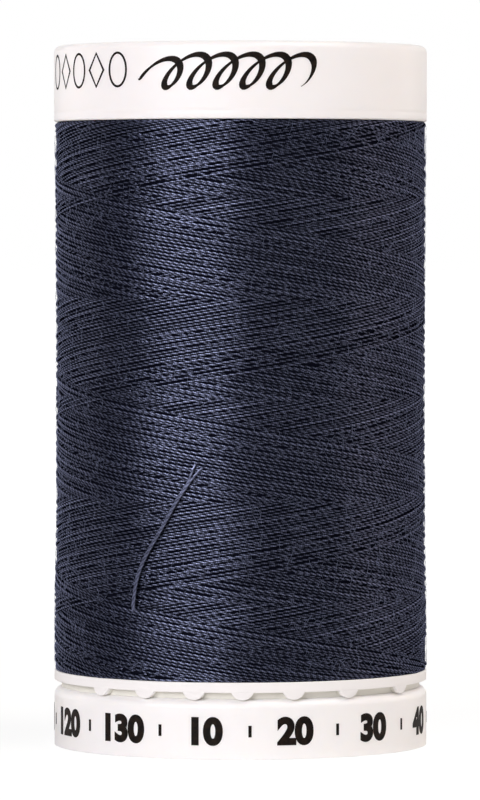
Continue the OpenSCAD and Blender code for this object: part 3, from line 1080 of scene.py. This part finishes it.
def makeWinding(material):
    w = winding
    strokes, heights = windThread()
    level = crownLevel(heights)
    rng = np.random.default_rng(w["twistSeed"])
    whole = joinStrands([shownStrand(s, heights, level, rng) for s in strokes[-2 * w["shownTrips"]:]])
    count = len(whole["rings"])
    print("winding rings", count)
    start = 0
    number = 1
    while start < count:
        end = min(start + w["ringsInPiece"], count)
        while end < count and whole["joined"][end - 1]:
            end += 1
        part = {key: values[start:end] for key, values in whole.items()}
        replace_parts(meshFromRings(f"threadLay_{number:02d}", part, material), "thread_winding")
        start = end
        number += 1


def makeUnderLayer(material):
    # the closed barrel of buried thread that shows in the gaps between strands, painted near black as the
    # shade there
    w = winding
    side = []
    for i in range(w["buriedSteps"] + 1):
        z = w["low"] + (w["high"] - w["low"]) * i / w["buriedSteps"]
        side.append((envelope(z) - w["buried"], z))
    bm = bmesh.new()
    spinOutline(bm, [(sizes["coreOut"], w["high"]), (sizes["coreOut"], w["low"])] + side)
    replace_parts(finishPiece(bm, "shadowedBuriedThread", material, "spool"), "thread_winding")


tail = {
    # degrees from the front, and height as a share of the winding's
    "way": [[-12.6, 0.386], [-13.9, 0.373], [-15.4, 0.357], [-17.1, 0.342], [-19.9, 0.318], [-22.6, 0.289],
            [-25.6, 0.26], [-28.6, 0.233], [-31, 0.207], [-32.6, 0.182], [-33.4, 0.157], [-33.8, 0.134],
            [-34, 0.122]],
    "rings": 90, "smooth": 4,
    "ply": 0.125, "waist": 0.85,       # radius, and its width across as a share
    "gap": -0.12,
    "fork": 0.27, "forkLong": 1.6,     # how far its two plies part at the upper end
    "footFork": 0.3, "footForkLong": 0.5,                   # and at the lower end, as a share of that
    "sit": 0.19,
    "dive": 0.32, "diveLong": 0.8,     # how deep each end is tucked in, and over how much of its way
    # the least share of the thread end's sides left clear of the painted shade, and its lay tone
    "leastOpen": 0.4, "tone": 0.9,
}


def makeTail(material):
    # the doubled thread end that lies on the winding
    w, e = winding, tail
    way = np.array(e["way"])
    source = np.arange(len(way))
    at = np.linspace(0, len(way) - 1, e["rings"])
    theta = slide(np.radians(np.interp(at, source, way[:, 0])), e["smooth"], np.mean)
    z = w["low"] + (w["high"] - w["low"]) * np.interp(at, source, way[:, 1])
    z = slide(z, e["smooth"], np.mean)
    dive = np.clip(np.minimum(at, at[::-1]) / e["diveLong"], 0, 1)
    points = pathPoints(envelope(z) + e["sit"] - e["dive"] * (1 - dive), theta, z)
    tangent = np.gradient(points, axis=0)
    across = np.cross(tangent, points * np.array([1, 1, 0]))
    across /= np.linalg.norm(across, axis=1, keepdims=True)
    length = np.concatenate([[0], np.cumsum(np.linalg.norm(np.diff(points, axis=0), axis=1))])
    upper = np.clip(1 - length / e["forkLong"], 0, 1)
    lower = e["footFork"] * np.clip(1 - length[::-1] / e["footForkLong"], 0, 1)
    apart = e["ply"] + e["gap"] / 2 + e["fork"] * (upper + lower)
    plies = []
    for side in (-1, 1):
        path = points + side * apart[:, None] * across
        twist = length * 2 * math.pi / w["plyTwist"] + side
        rings, openness = strandRings(path, twist, e["ply"], e["waist"])
        plies.append({"rings": rings, "joined": np.arange(e["rings"]) < e["rings"] - 1, "along": length,
                      "tone": np.full(e["rings"], e["tone"]),
                      "open": e["leastOpen"] + (1 - e["leastOpen"]) * openness})
    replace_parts(meshFromRings("threadEnd", joinStrands(plies), material), "thread_tail")
    print("thread end", round(float(length[-1]), 1), "mm")


fuzz = {
    "seeds": (5, 6), "hairs": 4700,
    "short": 0.35, "long": 1.7, "thin": 0.008, "thick": 0.014, "rings": 4,
    "root": 0.5, "tip": 0.3,                                # how thin its ends get
    "heading": 0.95, "headingVaries": 0.4, "curl": 1.3,     # radians from level
    "sit": -0.01, "lift": 0.07,                             # mm off the outer shape, and over that
    "arch": (0.5, 1),                                       # from half an arch to a whole one
    "clear": 0.6, "leastClear": 0.1,                        # room to the faces, at its root and along it
    "calmTurn": -10.0, "calmWidth": 34.0, "calm": 0.85,     # a stretch of the winding with fewer of them
    "calmMove": (50, 150),                                  # degrees that the others are moved by
}


def looseHair(rng):
    f, w = fuzz, winding
    n = f["rings"]
    t = np.linspace(0, 1, n)
    theta0 = rng.uniform(-math.pi, math.pi)
    calm = math.exp(-((math.degrees(theta0) - f["calmTurn"]) / f["calmWidth"]) ** 2)
    if rng.uniform() < f["calm"] * calm:
        theta0 += rng.choice([-1, 1]) * math.radians(rng.uniform(*f["calmMove"]))
    z0 = rng.uniform(w["low"] + f["clear"], w["high"] - f["clear"])
    long = f["short"] + (f["long"] - f["short"]) * rng.uniform() ** 2
    heading = rng.choice([-1, 1]) * rng.normal(f["heading"], f["headingVaries"])
    angle = heading + rng.normal(0, f["curl"]) * t
    step = long / (n - 1)
    x = np.concatenate([[0], np.cumsum(np.cos(angle[:-1]))]) * step
    z = z0 + np.concatenate([[0], np.cumsum(np.sin(angle[:-1]))]) * step
    z = np.clip(z, w["low"] + f["leastClear"], w["high"] - f["leastClear"])
    rise = f["lift"] * rng.uniform() * np.sin(math.pi * t * rng.uniform(*f["arch"]))
    points = pathPoints(envelope(z) + f["sit"] + rise, theta0 + x / w["middleRadius"], z)
    rings = strandRings(points, np.zeros(n), rng.uniform(f["thin"], f["thick"]), 1.0, 3)[0]
    rings[0] = points[0] + (rings[0] - points[0]) * f["root"]
    rings[-1] = points[-1] + (rings[-1] - points[-1]) * f["tip"]
    return {"rings": rings, "joined": np.arange(n) < n - 1, "along": t, "tone": np.full(n, rng.uniform()),
            "open": np.ones((n, 3))}


def makeFuzz(material):
    # loose fibres that stand a little off the winding, each a thin three-sided strand
    for number, seed in enumerate(fuzz["seeds"], 1):
        rng = np.random.default_rng(seed)
        hairs = joinStrands([looseHair(rng) for i in range(fuzz["hairs"])])
        meshFromRings(f"threadFuzz_{number:02d}", hairs, material)


bpy.context.scene.view_settings.view_transform = "Standard"
placeCamera()
placeLamps()
lightRoom()
layTable(tableFinish())
makeBaseCap(plasticFinish("brightPlastic", plastic["base"], plastic["baseDeep"], plastic["capMilk"]))
makeSpoolBody(plasticFinish("milkyPlastic", plastic["body"], plastic["bodyDeep"], plastic["bodyMilk"],
                            plastic["seat"]))
makeTopCap(plasticFinish("whitePlastic", plastic["cap"], plastic["capDeep"], plastic["capMilk"]))
print("mouldings made")
ink = inkFinish()
makeNumbers(ink)
makeMotif(ink)
print("printing made")
makeWinding(yarnFinish("spunThread", yarn["dash"], yarn["gain"]))
makeUnderLayer(buriedShadeFinish())
makeTail(yarnFinish("openedThread", yarn["endDash"], yarn["endShadedGain"]))
makeFuzz(hairFinish())
print("thread made")
